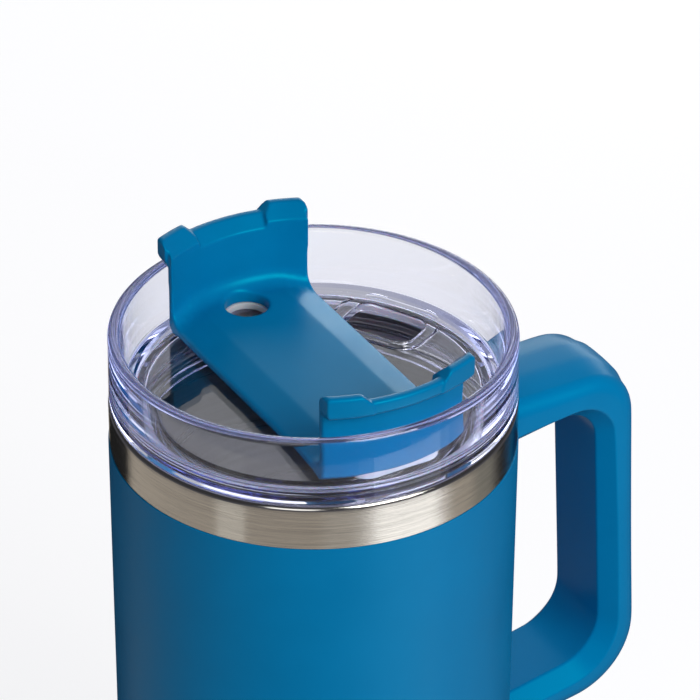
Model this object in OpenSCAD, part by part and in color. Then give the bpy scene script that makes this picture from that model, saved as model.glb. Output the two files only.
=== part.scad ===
/* [Cup] */
// Height of the steel cup, from the resting face to its lip
cup_h = 203.5; // [165:0.5:250]
// Outside diameter of the steel cup at its lip
cup_d = 100.4; // [82:0.2:122]
// Outside diameter at the base, sized to stand in a cup holder
base_d = 77; // [64:0.5:93]
// Lean of the side walls, in degrees
side_lean = 0.5; // [0:0.05:1.2]
// Height of the sloped step between the wide and the narrow part
step_h = 20; // [12:1:30]
// Space between the handle's lowest point and the step
step_below_handle = 3; // [1:0.5:10]
// Height of the bare steel band under the lip
band_h = 12; // [8:0.5:20]
// Rounding of the steel lip
lip_round = 1.2; // [0.6:0.1:1.5]
// Rounding at the foot of the shell
foot_round = 4; // [2:0.5:6]
// Wall of the outer shell
shell_wall = 0.8; // [0.5:0.05:1.2]
// Evacuated space between the two steel walls
vacuum_gap = 2.5; // [1.6:0.1:4]
// Wall of the inner liner
liner_wall = 0.6; // [0.4:0.05:1]
// Thickness of the colour coat on the steel
coat_t = 0.25; // [0.1:0.05:0.5]
// Evacuated space under the liner's floor
floor_gap = 7; // [5:0.5:12]
// Rounding between the liner's wall and its floor
floor_round = 9; // [4:0.5:14]

/* [Base] */
// Width of the shell's rolled-in foot ring
foot_ring_w = 3; // [2:0.5:6]
// Lap of the base plate on the foot ring
plate_lap = 2; // [1:0.5:2]
// Lift of the steel foot above the resting face
foot_lift = 0.8; // [0.4:0.1:1.5]
// Thickness of the base plate
plate_t = 0.8; // [0.6:0.1:1.5]
// Diameter of the sealing plug in the base plate
plug_d = 6; // [4:0.5:10]
// Diameter of the getter in the vacuum space
getter_d = 16; // [10:1:24]
// Thickness of the getter
getter_t = 2.5; // [1:0.5:4]

/* [Lid] */
// Height of the lid's rim above the steel lip
lid_rise = 18.5; // [14:0.5:26]
// Depth of the drinking recess, from the rim to the deck
recess_depth = 16.2; // [12:0.1:22]
// Thickness of the deck
deck_t = 2.4; // [1.8:0.1:3.2]
// Thickness of the lid's wall at the rim
lid_wall = 2.9; // [2:0.1:4]
// Height of the slightly proud ring at the foot of the lid's wall
lid_ring_h = 4.6; // [3:0.1:7]
// Length of the threaded skirt below the lid's seat
skirt_len = 14.5; // [10:0.5:20]
// Wall of the threaded skirt
skirt_wall = 2; // [1.6:0.1:3]
// Space between the lid's seat and the steel lip
seat_gap = 0.3; // [0.2:0.05:0.6]
// Space between the skirt and the cup's mouth
mouth_gap = 2.9; // [2.4:0.1:3.5]
// Depth of the thread ridges
thread_depth = 1.2; // [0.8:0.1:1.3]
// Pitch of the thread ridges
thread_pitch = 4.5; // [3.5:0.1:6]
// Height of the lid seal
seal_h = 3; // [2:0.5:4]

/* [Drinking port] */
// Distance of the drinking port and the straw hole from the lid's axis
port_r = 33.6; // [30:0.1:36]
// Turn of the drinking port from the handle, in degrees
port_turn = 29; // [20:1:40]
// Length of the drinking port, across the radius
port_l = 19.6; // [14:0.1:24]
// Width of the drinking port, along the radius
port_w = 12; // [8:0.5:15]
// Width of the land between the port and its drip groove
port_land = 3; // [2.5:0.1:4]
// Width of the drip groove round the port
groove_w = 1; // [0.6:0.1:1.5]
// Depth of the drip groove
groove_depth = 0.6; // [0.3:0.1:1]

/* [Cover] */
// Width of the turning cover
cover_w = 38.8; // [32:0.2:46]
// Thickness of the cover at its middle
cover_t = 4.6; // [3.8:0.1:6]
// Width of the flat top between the two sloped margins
plateau_w = 23; // [14:0.5:30]
// Drop of the sloped margins
margin_drop = 2.1; // [0.5:0.1:2.6]
// Space between the cover and the deck
cover_gap = 0.5; // [0.4:0.05:0.9]
// Space between the end flanges and the lid's wall
flange_gap = 2.6; // [2:0.1:4]
// Thickness of the end flanges
flange_t = 1.9; // [1.5:0.1:3]
// Fillet between the top of the cover and its end flanges
flange_fillet = 4; // [1:0.5:6]
// Height of the lip above the lid's rim
lip_rise = 7.4; // [6:0.1:10]
// Space between the lip's underside and the lid's rim
lip_clear = 3.6; // [2:0.1:5]
// Reach of the lip beyond the flange
lip_reach = 3.4; // [2:0.1:4.5]
// Depth of the lip's flat top
lip_top_w = 2.1; // [1:0.1:3]
// Height of the thumb lugs above the lip
lug_rise = 2.1; // [1:0.1:4]
// Length of each thumb lug
lug_l = 8.2; // [6:0.1:11]
// Overhang of the thumb lugs beyond the flange's sides
lug_side = 0.8; // [0.5:0.1:2]
// Diameter of the straw hole
straw_d = 11; // [8:0.5:13.5]
// Diameter of the turning hub
hub_d = 10; // [8:0.5:12]
// Radial running clearance of the hub
hub_fit = 0.05; // [0.02:0.01:0.1]

/* [Handle] */
// Reach of the upper arm over the bare steel band
handle_overlap = 1.5; // [0:0.1:3]
// Height of the handle, from the top of its upper arm to its lowest point
handle_h = 105.4; // [80:0.2:127]
// Finger gap between the cup and the grip at its top
finger_gap = 25.2; // [20:0.1:32]
// Thickness of the grip
grip_t = 10.8; // [9:0.1:14]
// Width of the handle
handle_w = 28; // [22:0.5:34]
// Bevel along the inside edges of the handle
handle_bevel = 4.1; // [2:0.1:5]
// Crown of the handle's outside face
handle_crown = 1.4; // [0.2:0.1:2]
// Thickness of the upper arm at the cup
arm_t = 15.8; // [13:0.1:19]
// Rise of the upper arm's underside towards the grip
arm_rise = 5.2; // [0:0.1:7]
// Thickness of the lower arm
low_arm_t = 10.8; // [10:0.1:14]
// Outward lean of the grip, over its height
grip_lean = 3.4; // [0:0.1:5]
// Extra thickness of the grip at its foot
grip_swell = 1.1; // [0:0.1:1.5]
// Drop of the lower arm towards the cup
arm_drop = 6.5; // [0:0.5:9]
// Rounding of the handle's outside corner at the top
corner_r = 14; // [12:0.5:21]
// Rounding of the handle's outside corner at the bottom
low_corner_r = 22; // [14:0.5:27]
// Rounding of the finger gap's upper corner
gap_r = 9; // [5:0.5:12]
// Rounding of the finger gap's lower corner
low_gap_r = 13; // [7:0.5:16]

/* [Handle fixing] */
// Thickness of the welded tabs
tab_t = 3.6; // [3:0.1:4.2]
// Width of the welded tabs
tab_w = 14; // [10:0.5:18]
// Reach of the welded tabs from the cup's side
tab_reach = 11; // [9:0.5:14]
// Diameter of the handle screws
screw_d = 3.5; // [3:0.1:4]
// Diameter of the screw heads
head_d = 6.4; // [5.5:0.1:7.5]

/* [Hidden] */

steel = [0.74, 0.73, 0.71];
liner_steel = [0.66, 0.65, 0.64];
blue = [0, 0.44, 0.64];
clear = [0.72, 0.72, 0.9, 0.45];
silicone = [0.84, 0.85, 0.88];
rubber_grey = [0.25, 0.27, 0.3];

$fn = 128;
step_points = 14;
arc_points = 6;

// Cup levels and radii
cup_r = cup_d / 2;
band_z = cup_h - band_h;
handle_top = band_z + handle_overlap;
handle_low = handle_top - handle_h;
step_top = handle_low - step_below_handle;
step_low = step_top - step_h;
liner_inset = shell_wall + vacuum_gap;
mouth_r = cup_r - liner_inset - liner_wall;
pad_t = foot_lift + shell_wall;
liner_z = pad_t + plate_t + floor_gap;
foot_ring_r = base_d / 2 - foot_round - foot_ring_w;

// Outside radius of the steel at height z
function side_r(z) = cup_r - (cup_h - z) * tan(side_lean);
function low_r(z) = base_d / 2 + z * tan(side_lean);
function step_share(z) = (1 - cos(180 * (z - step_low) / step_h)) / 2;
function steel_r(z) = z >= step_top ? side_r(z)
    : z <= step_low ? low_r(z)
    : low_r(step_low) + (side_r(step_top) - low_r(step_low)) * step_share(z);

// Points of a wall line from height z0 up to z1, set in from the steel's outside
function wall_line(inset, z0, z1) = concat(
    [[steel_r(z0) - inset, z0]],
    [for (i = [0 : step_points]) let (z = step_low + step_h * i / step_points)
        if (z > z0 && z < z1) [steel_r(z) - inset, z]],
    [[steel_r(z1) - inset, z1]]);
function reversed(p) = [for (i = [len(p) - 1 : -1 : 0]) p[i]];
function arc(c, r, a0, a1, n = arc_points) = [for (i = [0 : n]) c + r * [cos(a0 + (a1 - a0) * i / n),
    sin(a0 + (a1 - a0) * i / n)]];

module ring(r_in, r_out, z0, z1) {
    translate([0, 0, z0]) difference() {
        cylinder(r = r_out, h = z1 - z0);
        translate([0, 0, -1]) cylinder(r = r_in, h = z1 - z0 + 2);
    }
}

// Outer shell: foot ring, side wall and rolled lip in one spun piece
module outer_shell() {
    foot_z = foot_lift + foot_round;
    foot_c = [low_r(foot_z) - foot_round, foot_z];
    lip_c = [cup_r - lip_round, cup_h - lip_round];
    weld_r = mouth_r + liner_wall;
    color(steel) rotate_extrude() polygon(concat(
        [[foot_ring_r, foot_lift]],
        arc(foot_c, foot_round, -90, 0),
        wall_line(0, foot_z + 1, cup_h - lip_round - 1),
        arc(lip_c, lip_round, 0, 90),
        [[weld_r, cup_h], [weld_r, cup_h - shell_wall]],
        arc(lip_c, lip_round - shell_wall, 90, 0),
        reversed(wall_line(shell_wall, foot_z + 1, cup_h - lip_round - 1)),
        arc(foot_c, foot_round - shell_wall, 0, -90),
        [[foot_ring_r, foot_lift + shell_wall]]));
}

// Colour coat: a skin from the foot to the bare band, open where the handle's tabs are welded
module colour_coat() {
    coat_low = foot_lift + foot_round + 1;
    color(blue) difference() {
        rotate_extrude() polygon(concat(
            wall_line(-coat_t, coat_low, band_z),
            reversed(wall_line(0, coat_low, band_z))));
        for (z = [upper_tab_z, lower_tab_z])
            translate([cup_r - 8, -tab_w / 2 - 0.2, z - 0.2]) cube([16, tab_w + 0.4, tab_t + 0.4]);
    }
}

// Inner liner: spun wall, rounded floor and the two rolled thread ridges of the mouth
module inner_liner() {
    r_out = low_r(liner_z + floor_round) - liner_inset;
    floor_c = [r_out - floor_round, liner_z + floor_round];
    ridge_r = mouth_r - thread_depth;
    color(liner_steel) union() {
        rotate_extrude() polygon(concat(
            [[0, liner_z]],
            arc(floor_c, floor_round, -90, 0),
            wall_line(liner_inset, liner_z + floor_round + 1, cup_h),
            reversed(wall_line(liner_inset + liner_wall, liner_z + floor_round + 1, cup_h)),
            arc(floor_c, floor_round - liner_wall, 0, -90),
            [[0, liner_z + liner_wall]]));
        for (i = [0, 1])
            translate([0, 0, cup_h - seal_h - 4 - i * thread_pitch])
                thread_ridge(mouth_r + liner_wall / 2, ridge_r);
    }
}

// One thread ridge, a ring of trapezoid section between two radii
module thread_ridge(r_root, r_crest) {
    rotate_extrude() polygon([[r_root, -1.1], [r_crest, -0.35], [r_crest, 0.35], [r_root, 1.1]]);
}

module base_plate() {
    color(steel) translate([0, 0, pad_t]) difference() {
        cylinder(r = foot_ring_r + plate_lap, h = plate_t);
        translate([0, 0, -1]) cylinder(d = plug_d, h = plate_t + 2);
    }
}

module vacuum_plug() {
    color(liner_steel) translate([0, 0, pad_t - 0.4]) cylinder(d = plug_d, h = plate_t + 0.4);
}

module getter() {
    color(liner_steel) translate([0, 0, liner_z - getter_t]) cylinder(d = getter_d, h = getter_t);
}

// Soft pad that the cup stands on, with a pocket for the sealing plug
module base_pad() {
    color(rubber_grey) difference() {
        cylinder(r = foot_ring_r - 0.1, h = pad_t);
        translate([0, 0, pad_t - 0.6]) cylinder(d = plug_d + 1, h = 1);
    }
}

// Handle outline: the inside line and the outside line of the loop, in the plane through the cup's axis
coat_r = side_r(handle_top) + coat_t;
root_x = side_r(handle_low) - 4;
grip_x = coat_r + finger_gap;
inner_corners = [[root_x, handle_top - arm_t], [grip_x, handle_top - arm_t + arm_rise],
    [grip_x + grip_lean, handle_low + low_arm_t + arm_drop], [root_x, handle_low + low_arm_t]];
outer_corners = [[root_x, handle_top], [grip_x + grip_t, handle_top],
    [grip_x + grip_t + grip_swell + grip_lean, handle_low + arm_drop], [root_x, handle_low]];
corner_steps = 10;
edge_round = 4.6;

function unit(v) = v / norm(v);
// One rounded corner between a and c: its arc's points, from the side of a to the side of c
function rounded(a, b, c, r) =
    let (u = unit(a - b), w = unit(c - b), half = acos(u * w) / 2, centre = b + unit(u + w) * r / sin(half),
        from = b + u * r / tan(half), to = b + w * r / tan(half),
        a0 = atan2(from[1] - centre[1], from[0] - centre[0]),
        turn = atan2((to[1] - centre[1]) * cos(a0) - (to[0] - centre[0]) * sin(a0),
            (to[0] - centre[0]) * cos(a0) + (to[1] - centre[1]) * sin(a0)))
    arc(centre, r, a0, a0 + turn, corner_steps);
// The whole line: straight ends, two rounded corners and three points along the grip
function loop_line(p, r_top, r_low) =
    let (top = rounded(p[0], p[1], p[2], r_top), low = rounded(p[1], p[2], p[3], r_low),
        a = top[corner_steps], b = low[0])
    concat([p[0]], top, [a + (b - a) / 3, a + (b - a) * 2 / 3], low, [p[3]]);

// Section of the handle between its inside point p and its outside point q
function handle_section(p, q) =
    let (t = norm(q - p), n = (q - p) / t, half = handle_w / 2, flat = half - handle_bevel,
        round_r = min(edge_round, t - handle_bevel - handle_crown - 0.4),
        lean = atan(2 * handle_crown / (half - round_r * 0.7)),
        crown_y = half - round_r + round_r * sin(lean),
        side = concat([[flat, 0], [half, handle_bevel]],
            arc([half - round_r, t - handle_crown - round_r * cos(lean)], round_r, 0, 90 - lean),
            [[crown_y / 2, t - handle_crown / 4]]),
        other = [for (s = reversed(side)) [-s[0], s[1]]])
    [for (s = concat(side, other)) [p[0] + n[0] * s[1], s[0], p[1] + n[1] * s[1]]];

module swept(sections) {
    n = len(sections[0]);
    last = len(sections) - 1;
    polyhedron(
        points = [for (s = sections, p = s) p],
        faces = concat(
            [[for (i = [0 : n - 1]) i]],
            [[for (i = [n - 1 : -1 : 0]) last * n + i]],
            [for (k = [0 : last - 1], i = [0 : n - 1]) [k * n + (i + 1) % n, k * n + i, (k + 1) * n + i]],
            [for (k = [0 : last - 1], i = [0 : n - 1])
                [k * n + (i + 1) % n, (k + 1) * n + i, (k + 1) * n + (i + 1) % n]]));
}

// Levels of the welded tabs and places of the screws
tab_fit = 0.15;
upper_tab_z = handle_top - 5 - tab_t;
lower_tab_z = handle_low + 5.6;
screw_x = side_r(handle_low) + tab_reach - 4.5;
upper_seat_z = upper_tab_z - tab_fit - 1;
lower_seat_z = lower_tab_z - tab_fit - 1;
head_h = 1.5;
screw_len = tab_t + 1 + tab_fit;
seats = [[upper_seat_z, handle_top - arm_t - 2], [lower_seat_z, handle_low - 4]];

module handle() {
    inner = loop_line(inner_corners, gap_r, low_gap_r);
    outer = loop_line(outer_corners, corner_r, low_corner_r);
    color(blue) difference() {
        swept([for (i = [0 : len(inner) - 1]) handle_section(inner[i], outer[i])]);
        rotate_extrude() polygon(concat([[0, step_top]], wall_line(-coat_t, step_top, cup_h), [[0, cup_h]]));
        for (z = [upper_tab_z, lower_tab_z])
            translate([0, -tab_w / 2 - tab_fit, z - tab_fit])
                cube([side_r(z) + tab_reach + tab_fit, tab_w + 2 * tab_fit, tab_t + 2 * tab_fit]);
        for (s = seats) {
            translate([screw_x, 0, s[1]]) cylinder(d = head_d + 0.4, h = s[0] - s[1]);
            translate([screw_x, 0, s[0] - 1]) cylinder(d = screw_d + 0.4, h = 3);
        }
    }
}

// Steel tab welded to the shell, with the hole its screw bites into
module tab(z) {
    color(steel) difference() {
        translate([side_r(z) - 1, -tab_w / 2, z]) cube([tab_reach + 1, tab_w, tab_t]);
        rotate_extrude() polygon(concat([[0, step_top]], wall_line(0, step_top, cup_h), [[0, cup_h]]));
        translate([screw_x, 0, z - 1]) cylinder(d = screw_d + 0.1, h = tab_t + 2);
    }
}

module upper_tab() {
    tab(upper_tab_z);
}

module lower_tab() {
    tab(lower_tab_z);
}

module handle_screws() {
    color(steel) for (s = seats)
        translate([screw_x, 0, s[0]]) difference() {
            union() {
                translate([0, 0, -head_h]) cylinder(d = head_d, h = head_h);
                cylinder(d = screw_d, h = screw_len);
            }
            translate([0, 0, -head_h - 1]) cylinder(d = 2.4, h = 2, $fn = 6);
        }
}

// Push-in plugs that close the screw wells
module screw_plugs() {
    color(blue) for (i = [0, 1])
        translate([screw_x, 0, seats[i][0] - head_h - 0.9]) cylinder(d = head_d + 0.3, h = 0.7);
}

// Lid levels and radii
rim_z = cup_h + lid_rise;
seat_z = cup_h + seat_gap;
deck_z = rim_z - recess_depth;
rim_r = cup_r - 0.2;
wall_r = rim_r - 0.35;
ring_r = rim_r + 0.1;
recess_r = rim_r - lid_wall - 1.3;
skirt_r = mouth_r - mouth_gap;
moat_r = recess_r - 2.4;
moat_w = 1.9;
moat_depth = 0.9;
hub_r = hub_d / 2;
boss_r = hub_r + 4;
boss_h = 2;
o_ring_r = 0.85;
o_ring_seat = 1.4;
port_r2 = 3.5;

// Round-cornered plate about the origin, l along X and w along Y
module round_plate(l, w, r, h) {
    linear_extrude(h) {
        square([l - 2 * r, w], center = true);
        square([l, w - 2 * r], center = true);
        for (x = [-1, 1], y = [-1, 1]) translate([x * (l / 2 - r), y * (w / 2 - r)]) circle(r, $fn = 48);
    }
}

// Places a child drawn about the origin at the port's distance, at a turn from the handle
module at_port(turn, z) {
    rotate([0, 0, turn]) translate([port_r, 0, z]) rotate([0, 0, 90]) children();
}

// Clear lid: rim wall, deck with its moat, seat and threaded skirt
module lid_body() {
    edge = lid_wall / 2;
    rim_c = [rim_r - edge, rim_z - edge];
    skirt_low = seat_z - skirt_len;
    groove = port_land + groove_w;
    color(clear) difference() {
        union() {
            rotate_extrude() polygon(concat(
                [[0, deck_z - deck_t], [skirt_r - skirt_wall, deck_z - deck_t],
                    [skirt_r - skirt_wall, skirt_low], [skirt_r - 0.6, skirt_low],
                    [skirt_r, skirt_low + 0.6], [skirt_r, seat_z]],
                [[ring_r - 0.5, seat_z], [ring_r, seat_z + 0.5], [ring_r, seat_z + lid_ring_h - 0.5],
                    [wall_r, seat_z + lid_ring_h]],
                arc(rim_c, edge, 0, 180, 12),
                [[recess_r, deck_z + 1.8]],
                arc([recess_r - 0.8, deck_z + 1.8], 0.8, 0, -60, 3),
                [[moat_r + 0.3, deck_z], [moat_r, deck_z - moat_depth],
                    [moat_r - moat_w + 0.3, deck_z - moat_depth], [moat_r - moat_w, deck_z], [0, deck_z]]));
            for (i = [0, 1])
                translate([0, 0, skirt_low + 2.4 + i * thread_pitch])
                    thread_ridge(skirt_r - 0.5, skirt_r + thread_depth);
            translate([0, 0, deck_z - deck_t - boss_h]) cylinder(r = boss_r, h = boss_h + deck_t / 2);
        }
        translate([0, 0, deck_z - 10]) cylinder(r = hub_r + hub_fit, h = 20);
        translate([0, 0, deck_z - o_ring_seat]) cylinder(r = hub_r + 2 * o_ring_r + 0.3, h = 5);
        at_port(port_turn, deck_z - deck_t - 1) round_plate(port_l, port_w, port_r2, deck_t + 2);
        at_port(port_turn, deck_z - groove_depth) difference() {
            round_plate(port_l + 2 * groove, port_w + 2 * groove, port_r2 + groove, 3);
            translate([0, 0, -1])
                round_plate(port_l + 2 * port_land, port_w + 2 * port_land, port_r2 + port_land, 5);
        }
    }
}

module lid_seal() {
    seal_r = mouth_r - 0.2;
    color(silicone) rotate_extrude() polygon([[skirt_r, seat_z], [skirt_r, seat_z - seal_h],
        [seal_r - 1, seat_z - seal_h], [seal_r, seat_z - seal_h + 0.8], [seal_r - 0.6, seat_z - seal_h + 1.5],
        [seal_r, seat_z - seal_h + 2.2], [seal_r, seat_z]]);
}

module hub_o_ring() {
    color(silicone) translate([0, 0, deck_z - o_ring_seat + o_ring_r])
        rotate_extrude() translate([hub_r + hub_fit + o_ring_r, 0]) circle(o_ring_r, $fn = 32);
}

// Cover levels and radii
cover_z = deck_z + cover_gap;
cover_top = cover_z + cover_t;
flange_r = recess_r - flange_gap;
lip_low = rim_z + lip_clear;
lip_top = rim_z + lip_rise;
lug_top = lip_top + lug_rise;
lip_r = flange_r + lip_reach;
seal_recess = 1.4;
seal_proud = 0.2;
washer_t = 1;
washer_r = boss_r - 0.5;
hub_low = deck_z - deck_t - boss_h - 0.1;
pivot_d = 4;
margin_steps = 4;

// Upright section of a flange and its lip, whose lip is raised by rise and reaches further by reach
module flange_section(rise, reach, drop = 0) {
    r_in = flange_r - flange_t;
    r_out = lip_r + reach;
    top = lip_top + rise;
    crease = top - (r_out - lip_top_w - r_in) * 0.95;
    fillet_c = [r_in - flange_fillet, cover_top + flange_fillet - drop];
    polygon(concat(
        [[fillet_c[0], cover_z + 1], [flange_r - 1.8, cover_z], [flange_r, cover_z + 1.8],
            [flange_r, lip_low - 0.8], [r_out - 0.6, lip_low], [r_out, lip_low + 0.7], [r_out, top - 0.5],
            [r_out - 0.5, top], [r_out - lip_top_w, top], [r_in, crease]],
        arc(fillet_c, flange_fillet, 0, -90)));
}

// The four thumb lugs' outline across the cover, seen along it
module lug_outline(side) {
    x_out = cover_w / 2 + lug_side;
    x_in = x_out - lug_l;
    polygon([for (p = [[x_in - lug_rise - 1.5, lip_low - 3], [x_in - lug_rise, lip_top], [x_in, lug_top],
        [x_out - 0.6, lug_top], [x_out, lug_top - 0.6], [x_out, lip_low + 1.4], [cover_w / 2, lip_low - 0.8],
        [cover_w / 2, lip_low - 3]]) [p[0] * side, p[1]]]);
}

// Half turns of a flange section, cut to the ends of the cover
module end_ring(rise, reach, drop = 0) {
    for (turn = [60, 240]) rotate([0, 0, turn]) rotate_extrude(angle = 60) flange_section(rise, reach, drop);
}

// Upright slabs along the cover on both sides, from x0 on, w wide and h high
module side_slabs(x0, w, h) {
    for (x = [-x0 - w, x0]) translate([x, -cup_d, 0]) cube([w, 2 * cup_d, h]);
}

module cover() {
    half_w = cover_w / 2;
    margin_step_w = (cover_w - plateau_w) / 2 / margin_steps;
    color(blue) difference() {
        union() {
            intersection() {
                rotate([90, 0, 0]) linear_extrude(cup_d, center = true) polygon([
                    [-half_w, cover_z + 0.8], [-half_w + 0.8, cover_z], [half_w - 0.8, cover_z],
                    [half_w, cover_z + 0.8], [half_w, cover_top - margin_drop], [plateau_w / 2, cover_top],
                    [-plateau_w / 2, cover_top], [-half_w, cover_top - margin_drop]]);
                rotate_extrude() polygon([[0, cover_z - 1], [flange_r - 2.8, cover_z - 1],
                    [flange_r, cover_z + 1.8], [flange_r, cover_top + 1], [0, cover_top + 1]]);
            }
            intersection() {
                end_ring(0, 0);
                translate([0, 0, cover_z]) side_slabs(0, plateau_w / 2, lip_top - cover_z);
            }
            for (k = [0 : margin_steps - 1]) intersection() {
                end_ring(0, 0, margin_drop * (k + 0.5) / margin_steps);
                translate([0, 0, cover_z])
                    side_slabs(plateau_w / 2 + k * margin_step_w, margin_step_w, lip_top - cover_z);
            }
            intersection() {
                end_ring(lug_rise, 0.4, margin_drop);
                for (side = [-1, 1])
                    rotate([90, 0, 0]) linear_extrude(2 * cup_d, center = true) lug_outline(side);
                union() {
                    translate([0, 0, cover_z]) side_slabs(0, half_w, lug_top - cover_z);
                    ring(flange_r, lip_r + 2, cover_z, lug_top);
                }
            }
            translate([0, 0, hub_low]) cylinder(r = hub_r, h = cover_z - hub_low + 1);
        }
        translate([0, port_r, cover_z - 1]) cylinder(d = straw_d, h = cover_t + 3);
        for (turn = [90, 270]) at_port(turn, cover_z - 1)
            round_plate(pad_l + 0.4, pad_w + 0.4, port_r2 + port_land - 0.8, seal_recess + 1);
        translate([0, 0, hub_low - 1]) cylinder(d = pivot_d + 0.1, h = cover_top - 1.6 - hub_low + 1);
    }
}

// Size of the two silicone pads, which cover the port and the land round it
pad_l = port_l + 2 * port_land - 1;
pad_w = port_w + 2 * port_land - 1;

module pad_blank() {
    round_plate(pad_l, pad_w, port_r2 + port_land - 1, seal_recess + seal_proud);
}

module straw_seal() {
    color(silicone) difference() {
        at_port(90, cover_z - seal_proud) pad_blank();
        translate([0, port_r, cover_z - 3]) cylinder(d = straw_d - 0.6, h = cover_t + 3);
    }
}

module closure_pad() {
    color(silicone) at_port(270, cover_z - seal_proud) pad_blank();
}

module hub_washer() {
    color(silicone) ring(pivot_d / 2 + 0.1, washer_r, hub_low - washer_t, hub_low);
}

module pivot_screw() {
    color(steel) translate([0, 0, hub_low - washer_t]) difference() {
        union() {
            translate([0, 0, -2.4]) cylinder(d = 7.5, h = 2.4);
            cylinder(d = pivot_d, h = cover_top - 2 - hub_low + washer_t);
        }
        translate([0, 0, -3.4]) cylinder(d = 3, h = 2.5, $fn = 6);
    }
}

outer_shell();
colour_coat();
inner_liner();
base_plate();
vacuum_plug();
getter();
base_pad();
handle();
upper_tab();
lower_tab();
handle_screws();
screw_plugs();
lid_body();
lid_seal();
hub_o_ring();
cover();
straw_seal();
closure_pad();
hub_washer();
pivot_screw();
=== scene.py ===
import math
import bmesh
import bpy
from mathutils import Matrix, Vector


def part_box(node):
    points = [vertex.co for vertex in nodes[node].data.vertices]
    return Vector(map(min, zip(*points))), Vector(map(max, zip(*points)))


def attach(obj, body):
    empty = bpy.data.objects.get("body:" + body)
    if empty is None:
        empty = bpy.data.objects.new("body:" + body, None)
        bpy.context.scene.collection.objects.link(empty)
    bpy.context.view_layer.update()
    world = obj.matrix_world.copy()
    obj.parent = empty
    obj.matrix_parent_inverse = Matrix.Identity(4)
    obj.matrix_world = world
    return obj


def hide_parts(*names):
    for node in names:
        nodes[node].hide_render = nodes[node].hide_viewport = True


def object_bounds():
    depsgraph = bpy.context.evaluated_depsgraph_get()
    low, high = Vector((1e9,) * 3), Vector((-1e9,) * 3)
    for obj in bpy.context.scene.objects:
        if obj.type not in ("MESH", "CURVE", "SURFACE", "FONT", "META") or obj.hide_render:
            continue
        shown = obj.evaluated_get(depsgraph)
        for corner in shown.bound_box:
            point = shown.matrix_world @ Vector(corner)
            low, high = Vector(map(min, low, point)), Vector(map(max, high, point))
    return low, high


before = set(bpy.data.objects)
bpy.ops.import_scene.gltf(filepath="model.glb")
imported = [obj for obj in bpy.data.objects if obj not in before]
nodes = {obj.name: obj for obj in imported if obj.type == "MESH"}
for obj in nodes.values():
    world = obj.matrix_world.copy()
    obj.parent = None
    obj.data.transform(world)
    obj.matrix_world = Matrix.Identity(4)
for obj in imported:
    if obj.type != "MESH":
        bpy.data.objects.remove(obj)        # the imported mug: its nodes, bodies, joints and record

mm = 0.001
cadLow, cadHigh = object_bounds()
print("frame loaded with", len(nodes), "CAD nodes")


def levelOf(node, end, axis=2):
    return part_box(node)[end][axis] / mm     # a face of a node's box, in millimetres


cupTop = levelOf("outer_shell", 1)
cupRadius = levelOf("outer_shell", 1, 0)
bandLow = levelOf("colour_coat", 1)
coatLow = levelOf("colour_coat", 0)
handleTop = levelOf("handle", 1)
handleLow = levelOf("handle", 0)
rimTop = levelOf("lid_body", 1)
seatLevel = levelOf("lid_seal", 1)
wallLean = math.tan(math.radians(0.5))     # the walls taper by half a degree
cup = {"baseRadius": 38.5, "stepBelowHandle": 3, "stepHeight": 20, "shellWall": 0.8, "vacuumGap": 2.5,
       "linerWall": 0.6, "coat": 0.25, "segments": 288, "stepPoints": 28}
stepTop = handleLow - cup["stepBelowHandle"]
stepLow = stepTop - cup["stepHeight"]
linerInset = cup["shellWall"] + cup["vacuumGap"]
mouthRadius = cupRadius - linerInset - cup["linerWall"]


def sideRadius(z):
    upper = cupRadius - (cupTop - z) * wallLean
    lower = cup["baseRadius"] + z * wallLean
    if z >= stepTop:
        return upper
    if z <= stepLow:
        return lower
    share = (1 - math.cos(math.pi * (z - stepLow) / cup["stepHeight"])) / 2
    foot = cup["baseRadius"] + stepLow * wallLean
    return foot + (cupRadius - (cupTop - stepTop) * wallLean - foot) * share


def wallLine(inset, low, high):
    steps = cup["stepPoints"]
    levels = [low] + [stepLow + cup["stepHeight"] * i / steps for i in range(steps + 1)] + [high]
    levels = sorted(set(z for z in levels if low <= z <= high))
    return [(sideRadius(z) - inset, z, 0) for z in levels]


# how much of a side an arc may take, and where its guard points sit
arcLimits = {"side": 0.46, "guardOfRadius": 0.35, "guardOfSide": 0.03, "straight": 0.02}


# a section's corners (x, y, radius) turned into arcs, with a guard point each side of every arc
def softened(corners, closed=True, stepAngle=15):
    line = []
    last = len(corners) - 1
    for i, (x, y, radius) in enumerate(corners):
        here = Vector((x, y))
        if not radius or (not closed and i in (0, last)):
            line.append((x, y))
            continue
        back = Vector(corners[i - 1][:2]) - here
        ahead = Vector(corners[(i + 1) % len(corners)][:2]) - here
        u, w = back.normalized(), ahead.normalized()
        between = u.angle(w)
        if between > math.pi - arcLimits["straight"]:
            line.append((x, y))
            continue
        side = arcLimits["side"]
        reach = min(radius / math.tan(between / 2), side * back.length, side * ahead.length)
        radius = reach * math.tan(between / 2)
        centre = here + (u + w).normalized() * radius / math.sin(between / 2)
        start = here + u * reach - centre
        turn = math.pi - between
        stop = w * reach + here - centre
        sign = 1 if start.x * stop.y - start.y * stop.x > 0 else -1
        steps = max(2, round(math.degrees(turn) / stepAngle))
        guard = min(radius * arcLimits["guardOfRadius"], arcLimits["guardOfSide"] * min(back.length, ahead.length))
        line.append(tuple(here + u * (reach + guard)))
        for k in range(steps + 1):
            a = sign * turn * k / steps
            line.append((centre.x + start.x * math.cos(a) - start.y * math.sin(a),
                         centre.y + start.x * math.sin(a) + start.y * math.cos(a)))
        line.append(tuple(here + w * (reach + guard)))
    return line


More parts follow.
